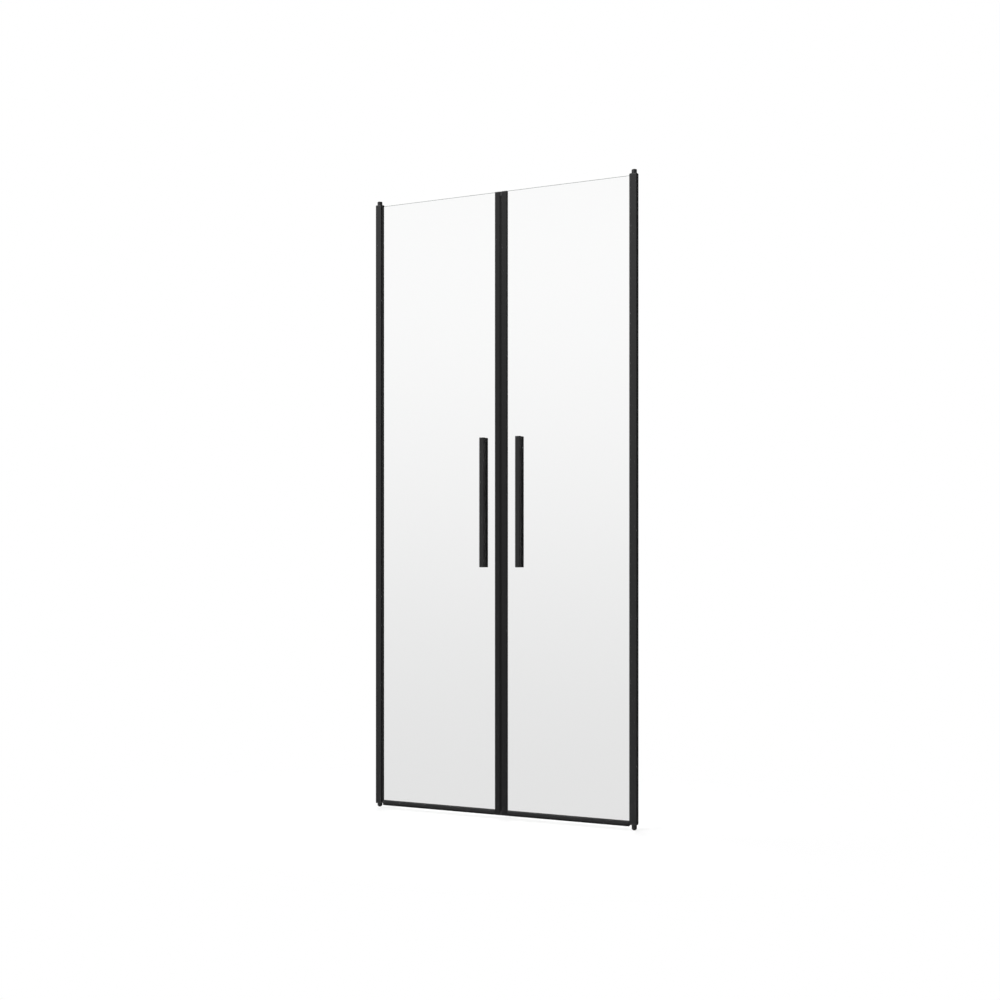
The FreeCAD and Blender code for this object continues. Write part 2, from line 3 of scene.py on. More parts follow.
import bmesh
import bpy
import numpy as np
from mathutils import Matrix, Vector


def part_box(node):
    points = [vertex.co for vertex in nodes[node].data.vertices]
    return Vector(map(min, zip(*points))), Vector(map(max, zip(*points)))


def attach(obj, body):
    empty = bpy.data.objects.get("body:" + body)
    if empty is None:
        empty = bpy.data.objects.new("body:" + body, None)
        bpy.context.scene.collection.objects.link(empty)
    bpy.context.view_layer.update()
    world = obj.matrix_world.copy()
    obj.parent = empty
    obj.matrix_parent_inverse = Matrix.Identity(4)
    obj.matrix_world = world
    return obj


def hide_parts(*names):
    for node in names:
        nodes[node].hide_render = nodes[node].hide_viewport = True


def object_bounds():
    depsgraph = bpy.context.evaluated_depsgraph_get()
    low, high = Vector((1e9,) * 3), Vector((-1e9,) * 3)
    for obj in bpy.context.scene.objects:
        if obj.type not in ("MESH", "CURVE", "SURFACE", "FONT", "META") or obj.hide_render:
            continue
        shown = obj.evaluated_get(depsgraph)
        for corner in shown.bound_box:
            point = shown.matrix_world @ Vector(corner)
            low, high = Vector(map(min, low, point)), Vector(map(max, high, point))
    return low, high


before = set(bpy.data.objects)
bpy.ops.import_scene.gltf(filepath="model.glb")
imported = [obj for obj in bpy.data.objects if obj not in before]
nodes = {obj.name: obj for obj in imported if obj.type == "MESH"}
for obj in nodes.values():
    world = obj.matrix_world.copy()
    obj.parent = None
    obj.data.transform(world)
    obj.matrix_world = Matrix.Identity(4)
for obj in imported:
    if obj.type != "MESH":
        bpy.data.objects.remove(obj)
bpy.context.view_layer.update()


# Pivot pins: four short steel pins, turned on a lathe and blacked in an oil bath.
# Their journals sit in the leaves' bushes, and their feet stand out of the ends of the
# hinge profiles, where brackets on the wall or the tray hold them.
sides = ("left", "right")
FOOT_RADIUS, JOURNAL_RADIUS, JOURNAL_LENGTH = 0.008, 0.004, 0.0201
UPPER_FOOT, LEFT_FOOT, RIGHT_FOOT = 0.012, 0.0116, 0.0158
UPPER_TAPER, LOWER_TAPER = 0.001, 0.004
SAME_POINT = 1e-7
SHADING_CREASE = math.radians(32)


def eased(corners, radii, steps=5):
    """A closed outline with every corner turned into an arc of its radius that touches both sides.

    With back and ahead the unit vectors from a corner to its neighbours and t the angle between
    them, the arc's centre lies r / sin(t / 2) along their bisector, and its points swing from one
    touching point to the other in equal angles. A corner whose radius is zero stays one point.
    """
    corners = np.asarray(corners, float)
    radii = np.broadcast_to(np.asarray(radii, float), len(corners))[:, None]
    back = np.roll(corners, 1, 0) - corners
    ahead = np.roll(corners, -1, 0) - corners
    back /= np.linalg.norm(back, axis=1, keepdims=True)
    ahead /= np.linalg.norm(ahead, axis=1, keepdims=True)
    between = np.arccos(np.clip((back * ahead).sum(1, keepdims=True), -1, 1))
    bisector = back + ahead
    bisector /= np.linalg.norm(bisector, axis=1, keepdims=True)
    centre = corners + bisector * radii / np.sin(between / 2)
    first = corners + back * radii / np.tan(between / 2) - centre
    last = corners + ahead * radii / np.tan(between / 2) - centre
    swing = (math.pi - between)[:, None]
    share = np.linspace(0, 1, steps)[None, :, None]
    early, late = np.sin((1 - share) * swing), np.sin(share * swing)
    points = centre[:, None] + (early * first[:, None] + late * last[:, None]) / np.sin(swing)
    points = points.reshape(-1, 2)
    apart = np.linalg.norm(points - np.roll(points, 1, 0), axis=1) > SAME_POINT
    return points[apart]


def pin_profile(foot_length, taper):
    """Radius against length, from the middle of the foot's end to the end of the journal.

    The line runs out of a centre hole, over the foot's taper and a relief groove near the
    shoulder, and down the journal, and each row names how far its corner is eased.
    """
    foot, journal, end = FOOT_RADIUS, JOURNAL_RADIUS, -JOURNAL_LENGTH
    core, centre_hole, groove, groove_depth, flank, tip = 0.0004, 0.0012, 0.0008, 0.0004, 0.3, 0.0008
    rim_ease, foot_ease, groove_ease, tip_ease = 0.0002, 0.0006, 0.0001, 0.0003
    line = np.array([
        (core, foot_length - centre_hole, 0),
        (centre_hole, foot_length, rim_ease),
        (foot - taper, foot_length, foot_ease),
        (foot, foot_length - taper, foot_ease),
        (foot, 2 * groove, groove_ease),
        (foot - groove_depth, (2 - flank) * groove, groove_ease),
        (foot - groove_depth, groove, groove_ease),
        (foot, (1 - flank) * groove, groove_ease),
        (foot, 0, rim_ease),
        (journal, 0, groove_ease),
        (journal, end + tip, tip_ease),
        (journal - tip, end, tip_ease),
        (core, end, 0),
    ])
    return eased(line[:, :2], line[:, 2])


def turned(profile, segments=72):
    """A profile of radius against length, carried once round its axis: r cos a, r sin a, length."""
    angle = np.linspace(0, math.tau, segments, endpoint=False)
    radius, length = profile[:, :1], profile[:, 1:]
    return radius * np.cos(angle), radius * np.sin(angle), length + 0 * angle


def skinned(name, rings, looped=False):
    """A closed mesh through rings of points, with quads between neighbours.

    The end rings are filled flat, or, where the rings are looped, the last one joins the first.
    """
    stations, count = rings.shape[:2]
    bands, points = np.arange(stations if looped else stations - 1), np.arange(count)
    ring, point = np.meshgrid(bands, points, indexing="ij")
    above, after = (ring + 1) % stations, (point + 1) % count
    quads = np.stack([
        ring * count + point, ring * count + after, above * count + after, above * count + point,
    ], -1).reshape(-1, 4)
    ends = [] if looped else [points[::-1].tolist(), (points + (stations - 1) * count).tolist()]
    mesh = bpy.data.meshes.new(name)
    mesh.from_pydata(rings.reshape(-1, 3).tolist(), [], quads.tolist() + ends)
    shell = bmesh.new()
    shell.from_mesh(mesh)
    bmesh.ops.recalc_face_normals(shell, faces=shell.faces)
    shell.to_mesh(mesh)
    shell.free()
    mesh.shade_smooth()
    mesh.set_sharp_from_angle(angle=SHADING_CREASE)
    piece = bpy.data.objects.new(name, mesh)
    bpy.context.scene.collection.objects.link(piece)
    piece.modifiers.new("even_shading", "WEIGHTED_NORMAL").keep_sharp = True
    return piece


def add_node(tree, kind, values=None, **settings):
    """A node with its settings and its input values; a value that is a socket becomes a link."""
    made = tree.nodes.new(kind)
    for key, value in settings.items():
        setattr(made, key, value)
    for key, value in (values or {}).items():
        if isinstance(value, bpy.types.NodeSocket):
            tree.links.new(value, made.inputs[key])
        else:
            made.inputs[key].default_value = value
    return made


# The grain that all grained finishes share: fine grain stretched by its own scale along each
# axis, and a broad mottle over it.
grain_group = bpy.data.node_groups.new("surface_grain", "ShaderNodeTree")
grain_group.interface.new_socket("Grain Scale", in_out="INPUT", socket_type="NodeSocketVector")
grain_group.interface.new_socket("Mottle Scale", in_out="INPUT", socket_type="NodeSocketFloat")
grain_group.interface.new_socket("Grain", in_out="OUTPUT", socket_type="NodeSocketFloat")
grain_group.interface.new_socket("Mottle", in_out="OUTPUT", socket_type="NodeSocketFloat")
group_in = add_node(grain_group, "NodeGroupInput")
place = add_node(grain_group, "ShaderNodeTexCoord")
stretched = add_node(grain_group, "ShaderNodeVectorMath", {
    0: place.outputs["Object"], 1: group_in.outputs["Grain Scale"],
}, operation="MULTIPLY")
fine = add_node(grain_group, "ShaderNodeTexNoise", {
    "Vector": stretched.outputs["Vector"], "Scale": 1.0, "Detail": 3.0, "Roughness": 0.55,
})
broad = add_node(grain_group, "ShaderNodeTexNoise", {
    "Vector": place.outputs["Object"], "Scale": group_in.outputs["Mottle Scale"], "Detail": 4.0,
})
add_node(grain_group, "NodeGroupOutput", {
    "Grain": fine.outputs["Fac"], "Mottle": broad.outputs["Fac"],
})


def grained_finish(name, dark, pale, smooth, rough, grain, mottle, depth, gloss=0.5, metal=0.0):
    """A finish whose colour follows the mottle, and its roughness and relief the grain."""
    material = bpy.data.materials.new(name)
    material.use_nodes = True
    tree = material.node_tree
    shader = tree.nodes["Principled BSDF"]
    texture = add_node(tree, "ShaderNodeGroup", node_tree=grain_group)
    texture.inputs["Grain Scale"].default_value = grain
    texture.inputs["Mottle Scale"].default_value = mottle
    colour = add_node(tree, "ShaderNodeMix", {
        "Factor": texture.outputs["Mottle"], "A": (*dark, 1), "B": (*pale, 1),
    }, data_type="RGBA")
    sheen = add_node(tree, "ShaderNodeMapRange", {
        "Value": texture.outputs["Grain"], "To Min": smooth, "To Max": rough,
    })
    relief = add_node(tree, "ShaderNodeBump", {
        "Height": texture.outputs["Grain"], "Distance": depth, "Strength": 1.0,
    })
    tree.links.new(colour.outputs["Result"], shader.inputs["Base Color"])
    tree.links.new(sheen.outputs["Result"], shader.inputs["Roughness"])
    tree.links.new(relief.outputs["Normal"], shader.inputs["Normal"])
    shader.inputs["Specular IOR Level"].default_value = gloss
    shader.inputs["Metallic"].default_value = metal
    return material


blacked_steel = grained_finish(
    "blacked_steel", dark=(0.02, 0.02, 0.021), pale=(0.036, 0.036, 0.037), smooth=0.32, rough=0.5,
    grain=(60, 60, 4200), mottle=90, depth=0.00002, metal=0.3,
)
pin_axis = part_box("lower_pins")[1].x - FOOT_RADIUS
lower_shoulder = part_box("lower_pins")[0].z + RIGHT_FOOT
upper_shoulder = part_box("upper_pins")[1].z - UPPER_FOOT
for level, shoulder, outward, feet, taper in (
    ("lower", lower_shoulder, -1, (LEFT_FOOT, RIGHT_FOOT), LOWER_TAPER),
    ("upper", upper_shoulder, 1, (UPPER_FOOT, UPPER_FOOT), UPPER_TAPER),
):
    for side, axis, foot_length in zip(sides, (-pin_axis, pin_axis), feet):
        across, along, length = turned(pin_profile(foot_length, taper))
        pin = skinned(f"{side}_{level}_pin", np.stack([
            axis + across, along, shoulder + outward * length,
        ], -1))
        pin.data.materials.append(blacked_steel)
        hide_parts(f"{level}_pins")
        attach(pin, "pivots")


# Pivot bushes: plain bearings cut from a dark acetal tube and pressed into the pivot caps.
# They stand a little proud, so that the lower one carries the leaf on the pin's shoulder.
acetal = grained_finish(
    "acetal", dark=(0.03, 0.03, 0.03), pale=(0.042, 0.042, 0.042), smooth=0.3, rough=0.42,
    grain=(300, 300, 2600), mottle=60, depth=0.00001,
)
WELD_GAP, EDGE_SEGMENTS = 1e-6, 2
FLAT_ANGLE, SHARP_ANGLE = math.radians(0.5), math.radians(40)


def dress(node_name, material, edge=0.0):
    """Gives a CAD solid its finish and, where an edge is named, rounds its sharp edges by it."""
    node = nodes[node_name]
    node.data.materials.clear()
    node.data.materials.append(material)
    if edge:
        one_skin = node.modifiers.new("one_skin", "WELD")
        one_skin.merge_threshold = WELD_GAP
        whole_faces = node.modifiers.new("whole_faces", "DECIMATE")
        whole_faces.decimate_type = "DISSOLVE"
        whole_faces.angle_limit = FLAT_ANGLE
        eased_edges = node.modifiers.new("eased_edges", "BEVEL")
        eased_edges.width = edge
        eased_edges.segments = EDGE_SEGMENTS
        eased_edges.limit_method = "ANGLE"
        eased_edges.angle_limit = SHARP_ANGLE


for side in sides:
    dress(f"{side}_pivot_bushes", acetal)


# Hinge profiles: hollow aluminium extrusions with a glazing pocket, in a matt black powder
# coat. The coat has a fine orange peel, and the two lips of the pocket stand back from the box.
powder_coat = grained_finish(
    "powder_coat", dark=(0.0175, 0.0175, 0.018), pale=(0.0225, 0.0225, 0.023),
    smooth=0.46, rough=0.58, grain=(1600, 1600, 1600), mottle=14, depth=0.00009, gloss=0.22,
)
for side in sides:
    dress(f"{side}_hinge_profile", powder_coat, edge=0.00025)


# Pivot caps: black moulded caps pushed into both ends of the hinge profiles. A spigot fills
# the chamber and holds the bush; the plate shows the profile's outline with a broken edge.
moulded_black = grained_finish(
    "moulded_black", dark=(0.0175, 0.0175, 0.018), pale=(0.0235, 0.0235, 0.024),
    smooth=0.42, rough=0.6, grain=(1600, 1600, 1600), mottle=40, depth=0.00005, gloss=0.4,
)
for side in sides:
    for end in ("upper", "lower"):
        dress(f"{side}_{end}_pivot_cap", moulded_black, edge=0.0002)


# Panes: clear toughened glass, 6 mm thick, with ground edges and two drilled holes for the
# handle. The furnace rollers leave a very faint wave, and the cut edges show the green of the melt.
CLEAR_FACE, GREEN_EDGE = (0.994, 0.996, 0.995, 1), (0.085, 0.135, 0.115, 1)
FACE_DEPTH, EDGE_DEPTH, EDGE_FROST = 0.0001, 0.0004, 0.1
ROLLER_SCALE, ROLLER_WAVE = (0.4, 1.0, 3.2), 0.0004
GLASS_IOR, GLASS_SHADOW = 1.5, (0.93, 0.94, 0.935, 1)


def clear_glass(half_thickness):
    """Clear on its faces, and green and frosted within the thickness, on edges and in the holes.

    The distance from the middle of the pane, against half its thickness, tells faces from edges.
    """
    material = bpy.data.materials.new("clear_glass")
    material.use_nodes = True
    tree = material.node_tree
    shader = tree.nodes["Principled BSDF"]
    place = add_node(tree, "ShaderNodeTexCoord")
    across = add_node(tree, "ShaderNodeSeparateXYZ", {"Vector": place.outputs["Object"]})
    depth = add_node(tree, "ShaderNodeMath", {0: across.outputs["Y"]}, operation="ABSOLUTE")
    face = add_node(tree, "ShaderNodeMapRange", {
        "Value": depth.outputs["Value"],
        "From Min": half_thickness - EDGE_DEPTH, "From Max": half_thickness - FACE_DEPTH,
    })
    tint = add_node(tree, "ShaderNodeMix", {
        "Factor": face.outputs["Result"], "A": GREEN_EDGE, "B": CLEAR_FACE,
    }, data_type="RGBA")
    frost = add_node(tree, "ShaderNodeMapRange", {
        "Value": face.outputs["Result"], "To Min": EDGE_FROST, "To Max": 0.0,
    })
    stretched = add_node(tree, "ShaderNodeVectorMath", {
        0: place.outputs["Object"], 1: ROLLER_SCALE,
    }, operation="MULTIPLY")
    wave = add_node(tree, "ShaderNodeTexNoise", {
        "Vector": stretched.outputs["Vector"], "Scale": 1.0, "Detail": 1.0,
    })
    relief = add_node(tree, "ShaderNodeBump", {
        "Height": wave.outputs["Fac"], "Distance": ROLLER_WAVE,
    })
    tree.links.new(tint.outputs["Result"], shader.inputs["Base Color"])
    tree.links.new(relief.outputs["Normal"], shader.inputs["Normal"])
    tree.links.new(frost.outputs["Result"], shader.inputs["Roughness"])
    shader.inputs["IOR"].default_value = GLASS_IOR
    shader.inputs["Transmission Weight"].default_value = 1.0
    ray = add_node(tree, "ShaderNodeLightPath")
    passing = add_node(tree, "ShaderNodeBsdfTransparent", {"Color": GLASS_SHADOW})
    both = add_node(tree, "ShaderNodeMixShader", {
        "Fac": ray.outputs["Is Shadow Ray"], 1: shader.outputs["BSDF"], 2: passing.outputs["BSDF"],
    })
    tree.links.new(both.outputs["Shader"], tree.nodes["Material Output"].inputs["Surface"])
    return material


glass = clear_glass(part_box("left_glass")[1].y)
for side in sides:
    dress(f"{side}_glass", glass)


# Gaskets: U-shaped strips of black rubber that line the three glazing pockets of a leaf. Each
# grips the pane from both sides and shows a thin round bead along the edge of its profile.
rubber_along_z = grained_finish(
    "rubber_upright", dark=(0.0135, 0.0135, 0.0135), pale=(0.02, 0.02, 0.02),
    smooth=0.5, rough=0.68, grain=(1800, 1800, 40), mottle=30, depth=0.00003, gloss=0.35,
)
# The same rubber on the level strips along the bottom rail is drawn darker there: painted shade.
rubber_along_x_painted_shade = grained_finish(
    "rubber_level_painted_shade", dark=(0.006, 0.006, 0.006), pale=(0.0105, 0.0105, 0.0105),
    smooth=0.5, rough=0.68, grain=(40, 1800, 1800), mottle=30, depth=0.00003, gloss=0.2,
)
GASKET_WEB = 0.001


def gasket_section(back, lips, half_outer, half_glass):
    """A U drawn from its back to its two lips, each lip rounded over to a bead, each corner eased."""
    bead, back_ease, inner_ease = 0.00055, 0.0003, 0.0001
    web = back + math.copysign(GASKET_WEB, lips - back)
    line = np.array([
        (back, half_outer, back_ease),
        (lips, half_outer, bead),
        (lips, half_glass, bead),
        (web, half_glass, inner_ease),
        (web, -half_glass, inner_ease),
        (lips, -half_glass, bead),
        (lips, -half_outer, bead),
        (back, -half_outer, back_ease),
    ])
    return eased(line[:, :2], line[:, 2])


def upright(section, low, high):
    """A section in x and y carried straight up from one level to another."""
    rings = np.repeat(section[None], 2, 0)
    level = np.broadcast_to(np.array([low, high])[:, None, None], (2, len(section), 1))
    return np.concatenate([rings, level], -1)


def level_run(section, start, finish):
    """A section given in z and y carried straight along x from one place to another."""
    rings = np.repeat(section[None, :, ::-1], 2, 0)
    across = np.broadcast_to(np.array([start, finish])[:, None, None], (2, len(section), 1))
    return np.concatenate([across, rings], -1)


for side in sides:
    half_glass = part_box(f"{side}_glass")[1].y
    low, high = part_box(f"{side}_hinge_gasket")
    ends = (low.x, high.x) if side == "left" else (high.x, low.x)
    section = gasket_section(*ends, high.y, half_glass)
    hinge_gasket = skinned(f"{side}_hinge_bead", upright(section, low.z, high.z))
    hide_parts(f"{side}_hinge_gasket")
    low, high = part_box(f"{side}_meeting_gasket")
    ends = (high.x, low.x) if side == "left" else (low.x, high.x)
    section = gasket_section(*ends, high.y, half_glass)
    meeting_gasket = skinned(f"{side}_meeting_bead", upright(section, low.z, high.z))
    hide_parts(f"{side}_meeting_gasket")
    low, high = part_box(f"{side}_rail_gasket")
    section = gasket_section(low.z, high.z, high.y, half_glass)
    rail_gasket = skinned(f"{side}_rail_bead", level_run(section, low.x, high.x))
    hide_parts(f"{side}_rail_gasket")
    for strip, rubber in (
        (hinge_gasket, rubber_along_z), (meeting_gasket, rubber_along_z),
        (rail_gasket, rubber_along_x_painted_shade),
    ):
        strip.data.materials.append(rubber)
        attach(strip, f"{side}_leaf")


# Meeting profiles: slim aluminium extrusions on the inner edges of the panes, in the same powder coat
# with painted shade that draws it a deeper black, with a slot for the magnet seal and a moulded cap
# at each end.
meeting_coat_painted_shade = grained_finish(
    "meeting_coat_painted_shade", dark=(0.011, 0.011, 0.0114), pale=(0.0145, 0.0145, 0.015),
    smooth=0.46, rough=0.58, grain=(1600, 1600, 1600), mottle=14, depth=0.00009, gloss=0.18,
)
for side in sides:
    dress(f"{side}_meeting_profile", meeting_coat_painted_shade, edge=0.0002)
    for end in ("top", "bottom"):
        dress(f"{side}_meeting_{end}_cap", moulded_black, edge=0.0002)


# Magnet seals: a soft black carrier slid into the slot of each meeting profile, with a
# strip of magnet-filled rubber in its hollow head, so that the two leaves close on each other.
magnet_rubber = grained_finish(
    "magnet_rubber", dark=(0.016, 0.014, 0.013), pale=(0.024, 0.021, 0.019),
    smooth=0.55, rough=0.75, grain=(1200, 1200, 60), mottle=50, depth=0.00003,
)
seal_plastic = grained_finish(
    "seal_plastic", dark=(0.0062, 0.0062, 0.0062), pale=(0.01, 0.01, 0.01),
    smooth=0.5, rough=0.65, grain=(1500, 1500, 50), mottle=30, depth=0.00002, gloss=0.18,
)
for side in sides:
    dress(f"{side}_magnet_carrier", seal_plastic, edge=0.00012)
    dress(f"{side}_magnet_strip", magnet_rubber)


# Bottom rails: aluminium extrusions under the panes, powder coated, with sloping shoulders
# that shed water. They stop short of the upright profiles and carry the wiper lip below.
for side in sides:
    dress(f"{side}_bottom_rail", powder_coat, edge=0.0002)


# Wiper lips: black rubber strips slid into the slots of the bottom rails. Two fins hang
# from a flat base, one at the front and one at the back, and thin out towards their tips.
def wiper_section(low, high, half_base, rail_bottom):
    """The T foot, the base and two fins with hollow inner faces, eased all round.

    A fin's thickness shrinks from root to tip with the square of the share that is left to fall.
    """
    base, foot, neck, lip = 0.0012, 0.0036, 0.0018, 0.0012
    root, tip, fin_points = 0.0017, 0.0007, 9
    tip_ease, base_ease, foot_ease = 0.0002, 0.0003, 0.0001
    fall = np.linspace(0, 1, fin_points)
    inner_y = half_base - tip - (root - tip) * (1 - fall) ** 2
    inner_z = rail_bottom - base + (low - rail_bottom + base) * fall
    slot_top = rail_bottom + lip
    rear_line = np.array([
        (low, half_base, tip_ease),
        (rail_bottom, half_base, base_ease),
        (rail_bottom, neck, foot_ease),
        (slot_top, neck, foot_ease),
        (slot_top, foot, foot_ease),
        (high, foot, foot_ease),
    ])
    line = np.concatenate([rear_line, rear_line[::-1] * (1, -1, 1)])
    front_fin, rear_fin = np.stack([inner_z, -inner_y], -1), np.stack([inner_z, inner_y], -1)
    return np.concatenate([eased(line[:, :2], line[:, 2]), front_fin[::-1], rear_fin])


for side in sides:
    low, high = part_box(f"{side}_wiper_lip")
    section = wiper_section(low.z, high.z, high.y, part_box(f"{side}_bottom_rail")[0].z)
    lip = skinned(f"{side}_wiper_fins", level_run(section, low.x, high.x))
    # The wiper fins take the level rubber with its painted shade, darker than the upright strips.
    lip.data.materials.append(rubber_along_x_painted_shade)
    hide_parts(f"{side}_wiper_lip")
    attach(lip, f"{side}_leaf")


# Handles: two square aluminium tubes a leaf, one on each face of the pane, powder coated like
# the hinge profiles, with soft pads against the glass. Two screws from the rear clamp them.
screw_steel = grained_finish(
    "screw_steel", dark=(0.36, 0.36, 0.37), pale=(0.46, 0.46, 0.47), smooth=0.66, rough=0.8,
    grain=(2200, 200, 2200), mottle=80, depth=0.00002, metal=1.0,
)
for side in sides:
    for face in ("front", "rear"):
        dress(f"{side}_handle_{face}_bar", powder_coat, edge=0.0002)
    dress(f"{side}_handle_pads", rubber_along_z)
    dress(f"{side}_handle_screws", screw_steel)
    dress(f"{side}_handle_nut_plates", screw_steel)


# Handle sleeves: soft black sleeves squeezed into the drilled holes of the panes, so that the
# screws don't touch the glass. A thin collar lies on each face of the pane, between the pads.
SLEEVE_SQUEEZE, SLEEVE_BORE, SLEEVE_COLLAR, COLLAR_GAP = 0.00023, 0.0032, 0.0076, 0.00002
BORE_EASE, COLLAR_EASE, SEAT_EASE = 0.0002, 0.0003, 0.0001
for side in sides:
    low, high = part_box(f"{side}_handle_sleeves")
    middle, outside = (low.x + high.x) / 2, (high.x - low.x) / 2
    hole, end_face = outside + SLEEVE_SQUEEZE, high.y - COLLAR_GAP
    collar_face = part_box(f"{side}_glass")[1].y + COLLAR_GAP
    front_line = np.array([
        (SLEEVE_BORE, -end_face, BORE_EASE),
        (SLEEVE_COLLAR, -end_face, COLLAR_EASE),
        (SLEEVE_COLLAR, -collar_face, SEAT_EASE),
        (hole, -collar_face, 0),
    ])
    line = np.concatenate([front_line, front_line[::-1] * (1, -1, 1)])
    across, upward, length = turned(eased(line[:, :2], line[:, 2]))
    for end, level in (("upper", high.z - outside), ("lower", low.z + outside)):
        sleeve = skinned(f"{side}_{end}_handle_sleeve", np.stack([
            middle + across, length, level + upward,
        ], -1), looped=True)
        sleeve.data.materials.append(moulded_black)
        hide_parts(f"{side}_handle_sleeves")
        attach(sleeve, f"{side}_leaf")


# Handle end caps: moulded plugs that close the tubes, eight in all, with a softly crowned
# face of the tube's own outline. A spigot behind each face is a push fit in the tube.
def cap_rings(box_low, box_high, outer, seam, outward):
    """The bar's outline drawn in by an inset at each station from the spigot's end to the crown.

    The insets follow the spigot, the plate's underside, its wall, a quarter round at the rim and
    a flat arch over the face, whose rise falls off with the square of the distance from its middle.
    """
    spigot, lead_in, plate, push_fit = 0.012, 0.0004, 0.003, 0.00195
    rim, arch, arch_reach, arc_points = 0.0008, 0.0003, 0.005, 6
    outer_round, inner_round, least_round = 0.002, 0.0004, 0.0002
    turn = np.linspace(0, math.pi / 2, arc_points)
    face = np.linspace(0, 1, arc_points)[1:]
    wall_top, rim_top = plate - arch - rim, plate - arch
    inset = np.concatenate([
        [push_fit + lead_in, push_fit, push_fit, 0.0, 0.0],
        rim * (1 - np.cos(turn)), rim + arch_reach * face,
    ])
    length = np.concatenate([
        [-spigot, lead_in - spigot, 0.0, 0.0, wall_top],
        wall_top + rim * np.sin(turn), rim_top + arch * (1 - (1 - face) ** 2),
    ])
    rings = []
    for drawn_in, station in zip(inset, length):
        x_low, x_high = box_low.x + drawn_in, box_high.x - drawn_in
        y_low, y_high = box_low.y + drawn_in, box_high.y - drawn_in
        outer_edge = max(outer_round - drawn_in, least_round)
        inner_edge = max(inner_round - drawn_in, least_round)
        front, rear = (outer_edge, inner_edge) if outer < 0 else (inner_edge, outer_edge)
        outline = eased(
            [(x_low, y_low), (x_high, y_low), (x_high, y_high), (x_low, y_high)],
            [front, front, rear, rear],
        )
        rings.append(np.column_stack([outline, np.full(len(outline), seam + outward * station)]))
    return np.array(rings)


for side in sides:
    for face, outer in (("front", -1), ("rear", 1)):
        box_low, box_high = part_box(f"{side}_handle_{face}_bar")
        for end, seam, outward in (("upper", box_high.z, 1), ("lower", box_low.z, -1)):
            rings = cap_rings(box_low, box_high, outer, seam, outward)
            cap = skinned(f"{side}_{face}_{end}_handle_cap", rings)
            cap.data.materials.append(moulded_black)
            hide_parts(f"{side}_handle_end_caps")
            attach(cap, f"{side}_leaf")


# Handle plugs: round moulded covers pressed into the screw holes of the rear bars. They have
# a domed face that stands half a millimetre proud, and a bevelled lead-in behind. The dome
# falls with the square of the distance from its middle.
PLUG_RADIUS, PLUG_LENGTH, PLUG_DOME = 0.00495, 0.0039, 0.0005
PLUG_CORE, PLUG_LEAD, PLUG_SEGMENTS = 0.0004, 0.0005, 56
DOME_RIM, DOME_MIDDLE, DOME_POINTS = 0.98, 0.08, 8
bow = np.linspace(DOME_RIM, DOME_MIDDLE, DOME_POINTS)
dome = np.stack([PLUG_RADIUS * bow, PLUG_LENGTH - PLUG_DOME * bow ** 2], -1)
wall = np.array([
    (PLUG_CORE, 0.0), (PLUG_RADIUS - PLUG_LEAD, 0.0), (PLUG_RADIUS, PLUG_LEAD),
    (PLUG_RADIUS, PLUG_LENGTH - PLUG_DOME),
])
across, upward, length = turned(np.concatenate([wall, dome]), segments=PLUG_SEGMENTS)
for side in sides:
    low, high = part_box(f"{side}_handle_plugs")
    middle = (low.x + high.x) / 2
    for end, level in (("upper", high.z - PLUG_RADIUS), ("lower", low.z + PLUG_RADIUS)):
        plug = skinned(f"{side}_{end}_handle_plug", np.stack([
            middle + across, high.y - PLUG_LENGTH + length, level + upward,
        ], -1))
        plug.data.materials.append(moulded_black)
        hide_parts(f"{side}_handle_plugs")
        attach(plug, f"{side}_leaf")


# Stage: a pale floor just under the pins, soft light from high on the left at the front and
# the back, a white backdrop that fades to pale grey behind the glass, and the camera of the
# photograph, level and to the right of the door.
WHITE = (1, 1, 1, 1)
FLOOR_HALF, FLOOR_TONE = 30.0, (0.6, 0.6, 0.6, 1)
NEAR_TONE, NEAR_GLOW = (0.22, 0.22, 0.22, 1), (0.75, 0.75, 0.75, 1)
NEAR_SHAPE, NEAR_EDGE, FAR_EDGE = (0.7, 1.0, 0.0), 0.35, 1.0
floor_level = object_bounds()[0].z
floor_mesh = bpy.data.meshes.new("floor")
floor_mesh.from_pydata([
    (-FLOOR_HALF, -FLOOR_HALF, floor_level), (FLOOR_HALF, -FLOOR_HALF, floor_level),
    (FLOOR_HALF, FLOOR_HALF, floor_level), (-FLOOR_HALF, FLOOR_HALF, floor_level),
], [], [(0, 1, 2, 3)])
floor = bpy.data.objects.new("floor", floor_mesh)
bpy.context.scene.collection.objects.link(floor)

# The floor takes the door's soft shadow near its foot and is clean white further off. It lights
# the door as plain paper, and what is seen through a pane or in a gloss lies beyond it.
paper = bpy.data.materials.new("white_paper")
paper.use_nodes = True
tree = paper.node_tree
tree.nodes.remove(tree.nodes["Principled BSDF"])
ray = add_node(tree, "ShaderNodeLightPath")
spot = add_node(tree, "ShaderNodeTexCoord")
around_door = add_node(tree, "ShaderNodeVectorMath", {
    0: spot.outputs["Object"], 1: NEAR_SHAPE,
}, operation="MULTIPLY")
away = add_node(tree, "ShaderNodeVectorMath", {
    0: around_door.outputs["Vector"],
}, operation="LENGTH")
far = add_node(tree, "ShaderNodeMapRange", {
    "Value": away.outputs["Value"], "From Min": NEAR_EDGE, "From Max": FAR_EDGE,
}, interpolation_type="SMOOTHSTEP")
plain = add_node(tree, "ShaderNodeBsdfDiffuse", {"Color": FLOOR_TONE})
shaded = add_node(tree, "ShaderNodeBsdfDiffuse", {"Color": NEAR_TONE})
glow = add_node(tree, "ShaderNodeEmission", {"Color": NEAR_GLOW, "Strength": 1.0})
near = add_node(tree, "ShaderNodeAddShader", {
    0: shaded.outputs["BSDF"], 1: glow.outputs["Emission"],
})
clean = add_node(tree, "ShaderNodeEmission", {"Color": WHITE, "Strength": 1.0})
shown = add_node(tree, "ShaderNodeMixShader", {
    "Fac": far.outputs["Result"], 1: near.outputs["Shader"], 2: clean.outputs["Emission"],
})
